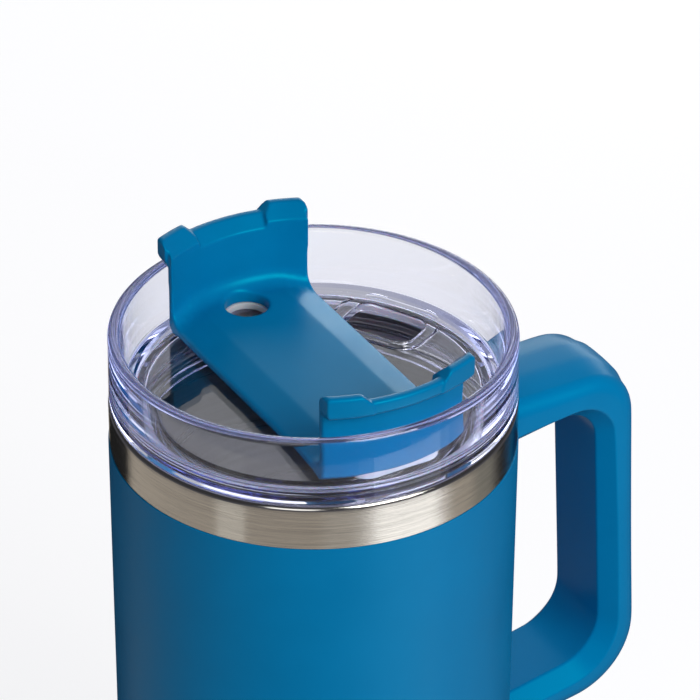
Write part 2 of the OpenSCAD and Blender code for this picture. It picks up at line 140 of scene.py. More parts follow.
# a mesh in millimetres made into a shaded piece that rides on a body
def addPiece(name, verts, faces, body, replaced=(), creaseAngle=32):
    mesh = bpy.data.meshes.new(name)
    mesh.from_pydata([(x * mm, y * mm, z * mm) for x, y, z in verts], [], faces)
    shape = bmesh.new()
    shape.from_mesh(mesh)
    bmesh.ops.remove_doubles(shape, verts=shape.verts, dist=1e-7)
    bmesh.ops.recalc_face_normals(shape, faces=shape.faces)
    shape.to_mesh(mesh)
    shape.free()
    mesh.shade_smooth()
    mesh.set_sharp_from_angle(angle=math.radians(creaseAngle))
    piece = bpy.data.objects.new(name, mesh)
    bpy.context.scene.collection.objects.link(piece)
    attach(piece, body)
    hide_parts(*replaced)
    return piece


# a closed section of (radius, height) points turned round the cup's axis
def turned(line, segments):
    verts, faces = [], []
    for r, z in line:
        for s in range(segments):
            a = 2 * math.pi * s / segments
            verts.append((r * math.cos(a), r * math.sin(a), z))
    for i in range(len(line)):
        j = (i + 1) % len(line)
        for s in range(segments):
            t = (s + 1) % segments
            quad = [i * segments + s, i * segments + t, j * segments + t, j * segments + s]
            if line[i][0] == 0 and line[j][0] == 0:
                continue
            faces.append(quad)
    return verts, faces


def smoothed(piece, amount=50):
    weighted = piece.modifiers.new("evenNormals", "WEIGHTED_NORMAL")
    weighted.keep_sharp = True
    weighted.weight = amount
    return piece


def newGroup(name, inputs, outputs):
    group = bpy.data.node_groups.new(name, "ShaderNodeTree")
    for label, value in inputs.items():
        entry = group.interface.new_socket(name=label, in_out="INPUT", socket_type="NodeSocketFloat")
        entry.default_value = value
    for label in outputs:
        group.interface.new_socket(name=label, in_out="OUTPUT", socket_type="NodeSocketFloat")
    return group, group.nodes.new("NodeGroupInput"), group.nodes.new("NodeGroupOutput")


# a socket fed by another socket or set to a constant
def plugged(tree, socket, value):
    if hasattr(value, "is_linked"):
        tree.links.new(value, socket)
    else:
        socket.default_value = value


def mathNode(tree, kind, a, b):
    node = tree.nodes.new("ShaderNodeMath")
    node.operation = kind
    plugged(tree, node.inputs[0], a)
    plugged(tree, node.inputs[1], b)
    return node.outputs[0]


def noiseNode(tree, vector, scale, detail=2.0, rough=0.5):
    node = tree.nodes.new("ShaderNodeTexNoise")
    tree.links.new(vector, node.inputs["Vector"])
    for label, value in (("Scale", scale), ("Detail", detail), ("Roughness", rough)):
        plugged(tree, node.inputs[label], value)
    return node.outputs[0]


# fine pebbled skin of powder coat and moulded plastic; Size is the pebbles' spacing in mm
def buildFineGrain():
    group, start, end = newGroup("fineGrain", {"Size": 0.5, "Patch": 18.0}, ("Height", "Mottle"))
    place = group.nodes.new("ShaderNodeTexCoord").outputs["Object"]
    pebbles = noiseNode(group, place, mathNode(group, "DIVIDE", 1000.0, start.outputs["Size"]), 2.5, 0.55)
    patches = noiseNode(group, place, mathNode(group, "DIVIDE", 1000.0, start.outputs["Patch"]), 3.0, 0.6)
    group.links.new(pebbles, end.inputs["Height"])
    group.links.new(patches, end.inputs["Mottle"])
    return group


# lines left by turning and brushing round the axis; Width and Length in mm
def buildTurnedLines():
    group, start, end = newGroup("turnedLines", {"Width": 0.16, "Length": 22.0}, ("Height", "Streak"))
    place = group.nodes.new("ShaderNodeTexCoord").outputs["Object"]
    split = group.nodes.new("ShaderNodeSeparateXYZ")
    group.links.new(place, split.inputs[0])
    along = mathNode(group, "DIVIDE", 1000.0, start.outputs["Length"])
    across = mathNode(group, "DIVIDE", 1000.0, start.outputs["Width"])
    joined = group.nodes.new("ShaderNodeCombineXYZ")
    for axis in (0, 1):
        group.links.new(mathNode(group, "MULTIPLY", split.outputs[axis], along), joined.inputs[axis])
    group.links.new(mathNode(group, "MULTIPLY", split.outputs[2], across), joined.inputs[2])
    fine = noiseNode(group, joined.outputs[0], 1.0, 2.0, 0.6)
    broad = noiseNode(group, joined.outputs[0], 0.22, 1.0, 0.5)
    both = mathNode(group, "ADD", mathNode(group, "MULTIPLY", fine, 0.7), mathNode(group, "MULTIPLY", broad, 0.3))
    group.links.new(both, end.inputs["Height"])
    group.links.new(broad, end.inputs["Streak"])
    return group


fineGrain = buildFineGrain()
turnedLines = buildTurnedLines()
print("shader effects built")


class Finish:
    def __init__(self, name, roughness, metallic=0.0):
        self.material = bpy.data.materials.new(name)
        self.material.use_nodes = True
        self.tree = self.material.node_tree
        self.shader = self.tree.nodes["Principled BSDF"]
        self.shader.inputs["Roughness"].default_value = roughness
        self.shader.inputs["Metallic"].default_value = metallic

    def effect(self, group, **values):
        node = self.tree.nodes.new("ShaderNodeGroup")
        node.node_tree = group
        for label, value in values.items():
            node.inputs[label].default_value = value
        return node

    def span(self, source, low, high, target):
        node = self.tree.nodes.new("ShaderNodeMapRange")
        node.inputs["To Min"].default_value = low
        node.inputs["To Max"].default_value = high
        node.inputs["From Min"].default_value = 0.3
        node.inputs["From Max"].default_value = 0.7
        self.tree.links.new(source, node.inputs["Value"])
        self.tree.links.new(node.outputs[0], self.shader.inputs[target])

    def tint(self, source, low, high):
        node = self.tree.nodes.new("ShaderNodeMix")
        node.data_type = "RGBA"
        span = self.tree.nodes.new("ShaderNodeMapRange")
        span.inputs["From Min"].default_value = 0.3
        span.inputs["From Max"].default_value = 0.7
        self.tree.links.new(source, span.inputs["Value"])
        self.tree.links.new(span.outputs[0], node.inputs["Factor"])
        node.inputs["A"].default_value = (*low, 1)
        node.inputs["B"].default_value = (*high, 1)
        self.tree.links.new(node.outputs["Result"], self.shader.inputs["Base Color"])
        return node

    def bump(self, height, depth):
        node = self.tree.nodes.new("ShaderNodeBump")
        node.inputs["Distance"].default_value = depth * mm
        node.inputs["Strength"].default_value = 1.0
        self.tree.links.new(height, node.inputs["Height"])
        self.tree.links.new(node.outputs[0], self.shader.inputs["Normal"])

    def set(self, **values):
        for label, value in values.items():
            self.shader.inputs[label.replace("_", " ")].default_value = value
        return self


powderCoat = Finish("powderCoat", 0.42)
skin = powderCoat.effect(fineGrain, Size=0.42, Patch=26.0)
powderCoat.tint(skin.outputs["Mottle"], (0.0, 0.158, 0.375), (0.0, 0.172, 0.405))
powderCoat.span(skin.outputs["Mottle"], 0.38, 0.46, "Roughness")
powderCoat.bump(skin.outputs["Height"], 0.010)
powderCoat.set(Specular_IOR_Level=0.2, Specular_Tint=(0.0, 1.0, 1.0, 1))

mouldedBlue = Finish("mouldedBlue", 0.26)
skin = mouldedBlue.effect(fineGrain, Size=0.24, Patch=14.0)
mouldedBlue.tint(skin.outputs["Mottle"], (0.0, 0.155, 0.365), (0.0, 0.168, 0.390))
mouldedBlue.span(skin.outputs["Mottle"], 0.30, 0.36, "Roughness")
mouldedBlue.bump(skin.outputs["Height"], 0.005)
mouldedBlue.set(Specular_IOR_Level=0.4, Specular_Tint=(0.0, 0.95, 1.0, 1))

handlePlastic = Finish("handlePlastic", 0.38)
skin = handlePlastic.effect(fineGrain, Size=0.7, Patch=24)
handlePlastic.tint(skin.outputs["Mottle"], (0.0, 0.172, 0.405), (0.0, 0.187, 0.430))
handlePlastic.span(skin.outputs["Mottle"], 0.34, 0.42, "Roughness")
handlePlastic.bump(skin.outputs["Height"], 0.006)
handlePlastic.set(Specular_IOR_Level=0.2, Specular_Tint=(0.0, 1.0, 1.0, 1))

brushedSteel = Finish("brushedSteel", 0.12, 1.0)
lines = brushedSteel.effect(turnedLines, Width=0.11, Length=30.0)
brushedSteel.tint(lines.outputs["Streak"], (0.56, 0.54, 0.51), (0.61, 0.59, 0.56))
brushedSteel.span(lines.outputs["Streak"], 0.10, 0.15, "Roughness")
brushedSteel.bump(lines.outputs["Height"], 0.03)

linerSteel = Finish("linerSteel", 0.3, 1.0)
lines = linerSteel.effect(turnedLines, Width=0.3, Length=40.0)
linerSteel.tint(lines.outputs["Streak"], (0.50, 0.49, 0.48), (0.60, 0.59, 0.58))
linerSteel.span(lines.outputs["Streak"], 0.26, 0.36, "Roughness")
linerSteel.bump(lines.outputs["Height"], 0.006)

screwSteel = Finish("screwSteel", 0.3, 1.0)
lines = screwSteel.effect(turnedLines, Width=0.4, Length=6.0)
screwSteel.tint(lines.outputs["Streak"], (0.48, 0.47, 0.46), (0.60, 0.59, 0.58))
screwSteel.bump(lines.outputs["Height"], 0.004)

clearPlastic = Finish("clearPlastic", 0.02)
clearPlastic.set(Base_Color=(0.985, 0.985, 1.0, 1), Transmission_Weight=1.0, IOR=1.5)
skin = clearPlastic.effect(fineGrain, Size=1.4, Patch=9.0)
clearPlastic.span(skin.outputs["Mottle"], 0.01, 0.035, "Roughness")
absorb = clearPlastic.tree.nodes.new("ShaderNodeVolumeAbsorption")
absorb.inputs["Color"].default_value = (0.17, 0.25, 0.74, 1)
absorb.inputs["Density"].default_value = 30.0
clearPlastic.tree.links.new(absorb.outputs[0], clearPlastic.tree.nodes["Material Output"].inputs["Volume"])
lampPath = clearPlastic.tree.nodes.new("ShaderNodeLightPath")
lampThrough = clearPlastic.tree.nodes.new("ShaderNodeBsdfTransparent")
lampThrough.inputs["Color"].default_value = (0.86, 0.86, 0.92, 1)
lampMix = clearPlastic.tree.nodes.new("ShaderNodeMixShader")
clearPlastic.tree.links.new(lampPath.outputs["Is Shadow Ray"], lampMix.inputs[0])
clearPlastic.tree.links.new(clearPlastic.shader.outputs[0], lampMix.inputs[1])
clearPlastic.tree.links.new(lampThrough.outputs[0], lampMix.inputs[2])
clearPlastic.tree.links.new(lampMix.outputs[0], clearPlastic.tree.nodes["Material Output"].inputs["Surface"])

silicone = Finish("silicone", 0.45)
skin = silicone.effect(fineGrain, Size=0.5, Patch=8.0)
silicone.tint(skin.outputs["Mottle"], (0.55, 0.56, 0.60), (0.66, 0.67, 0.71))
silicone.bump(skin.outputs["Height"], 0.006)
silicone.set(Subsurface_Weight=0.4, Subsurface_Scale=0.003)

padRubber = Finish("padRubber", 0.7)
skin = padRubber.effect(fineGrain, Size=0.6, Patch=12.0)
padRubber.tint(skin.outputs["Mottle"], (0.045, 0.05, 0.06), (0.07, 0.075, 0.085))
padRubber.bump(skin.outputs["Height"], 0.02)

washerPlastic = Finish("washerPlastic", 0.5)
skin = washerPlastic.effect(fineGrain, Size=0.4, Patch=6.0)
washerPlastic.tint(skin.outputs["Mottle"], (0.55, 0.56, 0.58), (0.66, 0.67, 0.69))
washerPlastic.bump(skin.outputs["Height"], 0.006)
print("finishes built")


def dress(piece, finish):
    piece.data.materials.clear()
    piece.data.materials.append(finish.material)
    return piece


shellShape = {"footLift": 0.8, "footRound": 4, "footRing": 3, "lipRound": 1.2, "arcSteps": 10}
footRing = cup["baseRadius"] - shellShape["footRound"] - shellShape["footRing"]
footZ = shellShape["footLift"] + shellShape["footRound"]
footR = cup["baseRadius"] + footZ * wallLean - shellShape["footRound"]
lipR, lipZ = cupRadius - shellShape["lipRound"], cupTop - shellShape["lipRound"]


def arcPoints(centre, radius, a0, a1, steps):
    turn = [math.radians(a0 + (a1 - a0) * i / steps) for i in range(steps + 1)]
    return [(centre[0] + radius * math.cos(a), centre[1] + radius * math.sin(a), 0) for a in turn]


def buildShell():
    wall, foot, lip = cup["shellWall"], shellShape["footRound"], shellShape["lipRound"]
    weld = mouthRadius + cup["linerWall"]
    outline = ([(footRing, shellShape["footLift"], 0)]
               + arcPoints((footR, footZ), foot, -90, 0, shellShape["arcSteps"])
               + wallLine(0, footZ + 1, cupTop - lip - 1)
               + arcPoints((lipR, lipZ), lip, 0, 90, shellShape["arcSteps"])
               + [(weld, cupTop, 0), (weld, cupTop - wall, 0)]
               + arcPoints((lipR, lipZ), lip - wall, 90, 0, 4)
               + wallLine(wall, footZ + 1, cupTop - lip - 1)[::-1]
               + arcPoints((footR, footZ), foot - wall, 0, -90, 6)
               + [(footRing, shellShape["footLift"] + wall, 0)])
    verts, faces = turned([p[:2] for p in outline], cup["segments"])
    return addPiece("steelShell", verts, faces, "cup", ["outer_shell"])


def buildCoat():
    outer = wallLine(-cup["coat"], coatLow, bandLow)
    outer[-1] = (outer[-1][0], outer[-1][1], 0.2)
    inner = wallLine(0, coatLow, bandLow)[::-1]
    verts, faces = turned(softened(outer + inner), cup["segments"])
    return addPiece("colourCoat", verts, faces, "cup", ["colour_coat"])


dress(buildShell(), brushedSteel)
dress(buildCoat(), powderCoat)

linerShape = {"floorRound": 9, "ridgeDepth": 1.2, "ridgeSpacing": 4.5, "sealHeight": 3, "ridgeHalf": 1.1,
              "crestHalf": 0.35, "ridgeSoft": 0.3, "ridgeBelowSeal": 4, "lipSoft": 0.25}
linerLow = levelOf("inner_liner", 0)


def buildLiner():
    rounding, wall = linerShape["floorRound"], cup["linerWall"]
    out = cup["baseRadius"] + (linerLow + rounding) * wallLean - linerInset
    centre = (out - rounding, linerLow + rounding)
    inside = wallLine(linerInset + wall, linerLow + rounding + 1, cupTop)[::-1]
    half, flat, soften = linerShape["ridgeHalf"], linerShape["crestHalf"], linerShape["ridgeSoft"]
    ridgeTop = cupTop - linerShape["sealHeight"] - linerShape["ridgeBelowSeal"]
    ridged = []
    for r, z, soft in inside:
        if z == cupTop:
            ridged.append((r, z, linerShape["lipSoft"]))
            for i in (0, 1):
                mid = ridgeTop - i * linerShape["ridgeSpacing"]
                crest = mouthRadius - linerShape["ridgeDepth"]
                ridged += [(r, mid + half, soften), (crest, mid + flat, soften),
                           (crest, mid - flat, soften), (r, mid - half, soften)]
        else:
            ridged.append((r, z, soft))
    outline = ([(0, linerLow, 0)] + arcPoints(centre, rounding, -90, 0, 12)
               + wallLine(linerInset, linerLow + rounding + 1, cupTop)
               + ridged + arcPoints(centre, rounding - wall, 0, -90, 12) + [(0, linerLow + wall, 0)])
    verts, faces = turned(softened(outline), cup["segments"])
    return addPiece("innerCup", verts, faces, "cup", ["inner_liner"])


dress(buildLiner(), linerSteel)

padShape = {"grooves": (27.5, 22.0), "grooveWidth": 0.9, "grooveDepth": 0.35, "grooveSoft": 0.12, "pocket": 3.5,
            "pocketDepth": 0.6, "edge": 0.35, "topEdge": 0.2, "segments": 144}


def buildPad():
    high, low = levelOf("base_pad", 1), 0.0
    rim = levelOf("base_pad", 1, 0)
    pocket, pocketFloor = padShape["pocket"], high - padShape["pocketDepth"]
    outline = [(pocket, high, 0), (pocket, pocketFloor, 0), (0, pocketFloor, 0), (0, low, 0)]
    for r in sorted(padShape["grooves"]):
        half, deep, soft = padShape["grooveWidth"] / 2, low + padShape["grooveDepth"], padShape["grooveSoft"]
        outline += [(r - half, low, soft), (r - half * 0.6, deep, soft), (r + half * 0.6, deep, soft),
                    (r + half, low, soft)]
    outline += [(rim, low, padShape["edge"]), (rim, high, padShape["topEdge"])]
    verts, faces = turned(softened(outline), padShape["segments"])
    return addPiece("basePad", verts, faces, "cup", ["base_pad"])


dress(buildPad(), padRubber)
print("cup built")

handleShape = {"gap": 25.2, "grip": 10.8, "width": 28, "bevel": 4.1, "crown": 1.4, "arm": 15.8, "armRise": 5.2,
               "lowArm": 10.8, "lean": 3.4, "swell": 0.74, "armDrop": 6.5, "corner": 14, "lowCorner": 22,
               "gapCorner": 9, "lowGapCorner": 13, "edge": 4.6, "cornerSteps": 26, "bevelSoft": 1.1,
               "easing": 4, "rootInset": 4, "sink": 0.12}


def roundedCorner(a, b, c, radius, steps):
    u, w = (a - b).normalized(), (c - b).normalized()
    half = u.angle(w) / 2
    centre = b + (u + w).normalized() * radius / math.sin(half)
    start, end = b + u * radius / math.tan(half) - centre, b + w * radius / math.tan(half) - centre
    turn = math.atan2(start.x * end.y - start.y * end.x, start.dot(end))
    return [centre + Vector((start.x * math.cos(turn * i / steps) - start.y * math.sin(turn * i / steps),
                             start.x * math.sin(turn * i / steps) + start.y * math.cos(turn * i / steps)))
            for i in range(steps + 1)]


def between(a, b, count):
    return [a + (b - a) * (i / count) for i in range(count)]


def loopLine(corners, topRadius, lowRadius):
    steps = handleShape["cornerSteps"]
    top = roundedCorner(*corners[:3], topRadius, steps)
    low = roundedCorner(*corners[1:], lowRadius, steps)
    return (between(corners[0], top[0], 10) + top[:-1] + between(top[-1], low[0], 16) + low[:-1]
            + between(low[-1], corners[3], 10) + [corners[3]])


def lineNormals(line, away):
    found = []
    for i, point in enumerate(line):
        along = line[min(i + 1, len(line) - 1)] - line[max(i - 1, 0)]
        across = Vector((along.y, -along.x)).normalized()
        found.append(across if across.dot(away[i]) > 0 else -across)
    return found


def handleSection(inside, outside, inNormal, outNormal):
    h = handleShape
    thick = (outside - inside).length
    half = h["width"] / 2
    edge = min(h["edge"], thick - h["bevel"] - h["crown"] - 0.4)
    lean = math.atan(2 * h["crown"] / (half - edge * 0.7))
    arc = [(half - edge + edge * math.cos(a), thick - h["crown"] - edge * math.cos(lean) + edge * math.sin(a), 0)
           for a in [(math.pi / 2 - lean) * i / 8 for i in range(9)]]
    crownY = arc[-1][0]
    crown = [(crownY * s, thick - h["crown"] * (0.25 + 0.75 * s * s) if s > 0.5 else
              thick - h["crown"] * (1 - math.cos(s * math.pi / 3)) * 0.875, 0) for s in (0.75, 0.5, 0.25)]
    side = [(half - h["bevel"], 0, h["bevelSoft"]), (half, h["bevel"], h["bevelSoft"] * 0.9)] + arc + crown
    whole = side + [(0, thick, 0)] + [(-y, t, soft) for y, t, soft in side[::-1]]
    points = []
    for y, t in softened(whole, True, 12):
        spot = (inside + inNormal * t).lerp(outside - outNormal * (thick - t), t / thick)
        points.append((spot.x, y, spot.y))
    return points


def buildHandle():
    h = handleShape
    coatRadius = sideRadius(handleTop) + cup["coat"]
    root = sideRadius(handleLow) - h["rootInset"]
    grip = coatRadius + h["gap"]
    inner = [Vector(p) for p in (
        (root, handleTop - h["arm"]), (grip, handleTop - h["arm"] + h["armRise"]),
        (grip + h["lean"], handleLow + h["lowArm"] + h["armDrop"]), (root, handleLow + h["lowArm"]))]
    outer = [Vector(p) for p in (
        (root, handleTop), (grip + h["grip"], handleTop),
        (grip + h["grip"] + h["swell"] + h["lean"], handleLow + h["armDrop"]), (root, handleLow))]
    innerLine = loopLine(inner, h["gapCorner"], h["lowGapCorner"])
    outerLine = loopLine(outer, h["corner"], h["lowCorner"])
    away = [q - p for p, q in zip(innerLine, outerLine)]
    rings = [handleSection(*four) for four in zip(innerLine, outerLine, lineNormals(innerLine, away),
                                                  lineNormals(outerLine, away))]
    count = len(rings[0])
    for turn in range(h["easing"]):          # eases the turns into the straight parts
        rings = [rings[0]] + [[tuple((a + 2 * b + c) / 4 for a, b, c in zip(*trio)) for trio in zip(*near)]
                              for near in zip(rings, rings[1:], rings[2:])] + [rings[-1]]
    verts = [p for ring in rings for p in ring]
    for i, (x, y, z) in enumerate(verts):   # the ends stop on the coat
        wall = sideRadius(min(z, cupTop)) + cup["coat"] - h["sink"]
        if x * x + y * y < wall * wall:
            verts[i] = (math.sqrt(wall * wall - y * y), y, z)
    faces = [[k * count + i, k * count + (i + 1) % count, (k + 1) * count + (i + 1) % count, (k + 1) * count + i]
             for k in range(len(rings) - 1) for i in range(count)]
    faces += [list(range(count)), [(len(rings) - 1) * count + i for i in range(count)]]
    return addPiece("sideHandle", verts, faces, "cup", ["handle"], 40)


dress(buildHandle(), handlePlastic)
print("handle built")

lidShape = {"deck": 16.2, "deckThick": 2.4, "wall": 2.9, "taper": 1.3, "skirtGap": 2.9, "skirtWall": 2,
            "ringStep": 0.05, "overhang": 0.1,
            "moat": (2.4, 1.9, 0.9), "bore": 5.05, "ringSeat": 7.0, "boss": 9, "segments": 360, "crease": 34}
deckLevel = rimTop - lidShape["deck"]
rimRadius = levelOf("lid_body", 1, 0) - lidShape["overhang"]
recessRadius = rimRadius - lidShape["wall"] - lidShape["taper"]
skirtRadius = mouthRadius - lidShape["skirtGap"]
skirtLow = levelOf("lid_body", 0)


def buildLid():
    s = lidShape
    under = deckLevel - s["deckThick"]
    edge = s["wall"] / 2
    ringRadius = rimRadius + s["ringStep"]
    inSkirt = skirtRadius - s["skirtWall"]
    back, width, depth = s["moat"]
    moat = recessRadius - back
    outline = [(s["bore"], under - 2, 0.2), (s["boss"], under - 2, 0.5), (s["boss"], under, 0.6),
               (inSkirt, under, 0.8), (inSkirt, skirtLow, 0.4), (skirtRadius, skirtLow, 0.6)]
    for i in (0, 1):
        mid = skirtLow + 2.4 + i * linerShape["ridgeSpacing"]
        crest = skirtRadius + linerShape["ridgeDepth"]
        outline += [(skirtRadius, mid - 1.05, 0.3), (crest, mid - 0.35, 0.3), (crest, mid + 0.35, 0.3),
                    (skirtRadius, mid + 1.05, 0.3)]
    outline += [(skirtRadius, seatLevel, 0.3), (ringRadius, seatLevel, 0.7),
                (rimRadius, rimTop, edge * 0.98), (rimRadius - s["wall"], rimTop, edge * 0.98),
                (recessRadius, deckLevel + 1.4, 1.2), (moat + 0.9, deckLevel + 0.55, 0.6),
                (moat + 0.3, deckLevel, 0.25), (moat, deckLevel - depth, 0.3),
                (moat - width + 0.3, deckLevel - depth, 0.3),
                (moat - width, deckLevel, 0.3), (s["ringSeat"], deckLevel, 0.25),
                (s["ringSeat"], deckLevel - 1.4, 0.1), (s["bore"], deckLevel - 1.4, 0.1)]
    verts, faces = turned(softened(outline, True, 15), s["segments"])
    return addPiece("clearLid", verts, faces, "lid", ["lid_body"], s["crease"])


portShape = {"distance": 33.6, "turn": 29, "length": 19.6, "width": 12, "corner": 3.5, "land": 3, "groove": 1,
             "grooveHalf": 0.62, "grooveDepth": 0.6, "edge": 0.45}


# the port's round-cornered outline, grown by `grow` and placed on the lid
def plateOutline(grow):
    points = []
    half, side, r = portShape["length"] / 2 + grow, portShape["width"] / 2 + grow, portShape["corner"] + grow
    for cx, cy, a0 in ((half - r, side - r, 0), (r - half, side - r, 90), (r - half, r - side, 180),
                       (half - r, r - side, 270)):
        for i in range(13):
            a = math.radians(a0 + 90 * i / 12)
            points.append((cx + r * math.cos(a), cy + r * math.sin(a)))
    turnAngle = math.radians(portShape["turn"])
    c, s = math.cos(turnAngle), math.sin(turnAngle)
    placed = []
    for x, y in points:                      # x runs round the lid and y towards its axis
        px, py = portShape["distance"] - y, x
        placed.append((px * c - py * s, px * s + py * c))
    return placed


# outlines at their heights joined into one solid: capped at both ends, or closed on itself
def stackedSolid(name, rings, capped=True):
    count, total = len(rings[0][0]), len(rings)
    verts = [(x, y, z) for ring, z in rings for x, y in ring]
    faces = [[k * count + i, k * count + (i + 1) % count, ((k + 1) % total) * count + (i + 1) % count,
              ((k + 1) % total) * count + i] for k in range(total - capped) for i in range(count)]
    if capped:
        faces += [list(range(count))[::-1], [(total - 1) * count + i for i in range(count)]]
    mesh = bpy.data.meshes.new(name)
    mesh.from_pydata([(x * mm, y * mm, z * mm) for x, y, z in verts], [], faces)
    solid = bpy.data.objects.new(name, mesh)
    bpy.context.scene.collection.objects.link(solid)
    shape = bmesh.new()
    shape.from_mesh(mesh)
    bmesh.ops.recalc_face_normals(shape, faces=shape.faces)
    shape.to_mesh(mesh)
    shape.free()
    return solid


def cutAway(piece, cutter):
    bpy.context.view_layer.update()
    cut = piece.modifiers.new("cut", "BOOLEAN")
    cut.operation, cut.object, cut.solver = "DIFFERENCE", cutter, "EXACT"
    evaluated = piece.evaluated_get(bpy.context.evaluated_depsgraph_get())
    mesh = bpy.data.meshes.new_from_object(evaluated)
    piece.modifiers.remove(cut)
    piece.data = mesh
    bpy.data.objects.remove(cutter)


def buildPort(lid):
    p = portShape
    under = deckLevel - lidShape["deckThick"]
    quarter = [math.radians(a) for a in range(0, 91, 15)]
    flare = [(p["edge"] * (1 - math.sin(a)), p["edge"] * (1 - math.cos(a))) for a in quarter]
    rings = []
    rings += [(plateOutline(flare[0][0]), under - 1)]
    rings += [(plateOutline(out), under + down) for out, down in flare]
    rings += [(plateOutline(out), deckLevel - down) for out, down in flare[::-1]]
    rings += [(plateOutline(flare[0][0]), deckLevel + 1)]
    cutAway(lid, stackedSolid("portCutter", rings))


def buildGroove(lid):
    p = portShape
    mid, half = p["land"] + p["groove"] / 2, p["grooveHalf"]
    section = [(math.cos(a) * half, -math.sin(a) * p["grooveDepth"]) for a in [math.pi * i / 8 for i in range(9)]]
    section = [(half, 1.0)] + section + [(-half, 1.0)]
    rings = [(plateOutline(mid + off), deckLevel + up) for off, up in section]
    cutAway(lid, stackedSolid("grooveCutter", rings, False))


clearLid = buildLid()
buildPort(clearLid)
buildGroove(clearLid)
clearLid.data.shade_smooth()
clearLid.data.set_sharp_from_angle(angle=math.radians(lidShape["crease"]))
smoothed(dress(clearLid, clearPlastic))
print("clear lid built")

sealShape = {"height": 3, "fit": 0.03, "squeeze": 0.2, "segments": 216}


def buildSeal():
    inner, outer = skirtRadius + sealShape["fit"], mouthRadius - sealShape["squeeze"]
    top = seatLevel - sealShape["fit"]
    low = seatLevel - sealShape["height"]
    outline = [(inner, top, 0.1), (inner, low, 0.4), (outer - 1, low, 0.4), (outer, low + 0.8, 0.3),
               (outer - 0.6, low + 1.5, 0.2), (outer, low + 2.2, 0.3), (outer, top, 0.1)]
    verts, faces = turned(softened(outline), sealShape["segments"])
    return addPiece("sealRing", verts, faces, "lid", ["lid_seal"])


dress(buildSeal(), silicone)

# the CAD cover remeshed and eased; sizes in mm, and the roundings count smoothing passes
coverShape = {"voxel": 0.30, "weld": 0.1, "rounding": 7, "filletLow": 14.5, "filletHigh": 13, "fade": 2,
              "filletRounding": 36}


def buildCover():
    mesh = nodes["cover"].data.copy()
    mesh.name = "turningCover"
    piece = bpy.data.objects.new("turningCover", mesh)
    bpy.context.scene.collection.objects.link(piece)
    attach(piece, "cover")
    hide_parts("cover")
    remesh = piece.modifiers.new("evenSkin", "REMESH")
    remesh.mode, remesh.voxel_size = "VOXEL", coverShape["voxel"] * mm
    remesh.use_smooth_shade = True
    tidy = piece.modifiers.new("dropSlivers", "WELD")
    tidy.merge_threshold = coverShape["weld"] * mm
    ease = piece.modifiers.new("easedEdges", "SMOOTH")
    ease.factor, ease.iterations = 0.5, coverShape["rounding"]
    bpy.context.view_layer.update()
    piece.data = bpy.data.meshes.new_from_object(piece.evaluated_get(bpy.context.evaluated_depsgraph_get()))
    piece.modifiers.clear()
    fillets = piece.vertex_groups.new(name="fillets")
    low = rimTop - coverShape["filletLow"]
    for v in piece.data.vertices:
        lift = v.co.z / mm - low
        share = max(0, min(1, lift / coverShape["fade"], (coverShape["filletHigh"] - lift) / coverShape["fade"]))
        if share:
            fillets.add([v.index], share, "REPLACE")
    ease = piece.modifiers.new("easedFillets", "SMOOTH")
    ease.factor, ease.iterations, ease.vertex_group = 0.5, coverShape["filletRounding"], "fillets"
    bpy.context.view_layer.update()
    piece.data = bpy.data.meshes.new_from_object(piece.evaluated_get(bpy.context.evaluated_depsgraph_get()))
    piece.modifiers.clear()
    piece.data.shade_smooth()
    return piece


smoothed(dress(buildCover(), mouldedBlue))
print("cover built")

# parts that keep their CAD mesh and only get a finish
carried = {"base_plate": brushedSteel, "vacuum_plug": linerSteel, "getter": linerSteel, "upper_tab": brushedSteel,
           "lower_tab": brushedSteel, "handle_screws": screwSteel, "screw_plugs": mouldedBlue,
           "hub_o_ring": silicone, "straw_seal": silicone, "closure_pad": silicone,
           "hub_washer": washerPlastic, "pivot_screw": screwSteel}
for nodeName, finish in carried.items():
    dress(nodes[nodeName], finish)
print("small parts dressed")

studio = {"floorTone": (0.90, 0.90, 0.91), "floorGlow": 0.66, "floorShine": 1.19, "floorBounce": 0.36,
          "background": (0.955, 0.950, 0.960),
          "fill": (0.90, 0.95, 1.0), "fillPower": 0.32, "gloss": (0.05, 0.05, 0.055),
          "insideGloss": (0.55, 0.55, 0.57), "floorGloss": (0.10, 0.10, 0.12)}


# 1 where the camera sees a thing directly or through clear plastic, with no bounce on the way
def straightRay(tree, path):
    bounced = mathNode(tree, "ADD", path.outputs["Diffuse Depth"], path.outputs["Glossy Depth"])
    through = mathNode(tree, "LESS_THAN", bounced, 0.5)
    clear = mathNode(tree, "MULTIPLY", through, path.outputs["Is Transmission Ray"])
    return mathNode(tree, "MAXIMUM", path.outputs["Is Camera Ray"], clear)


def mixShaders(tree, factor, first, second):
    node = tree.nodes.new("ShaderNodeMixShader")
    plugged(tree, node.inputs[0], factor)
    tree.links.new(first, node.inputs[1])
    tree.links.new(second, node.inputs[2])
    return node.outputs[0]


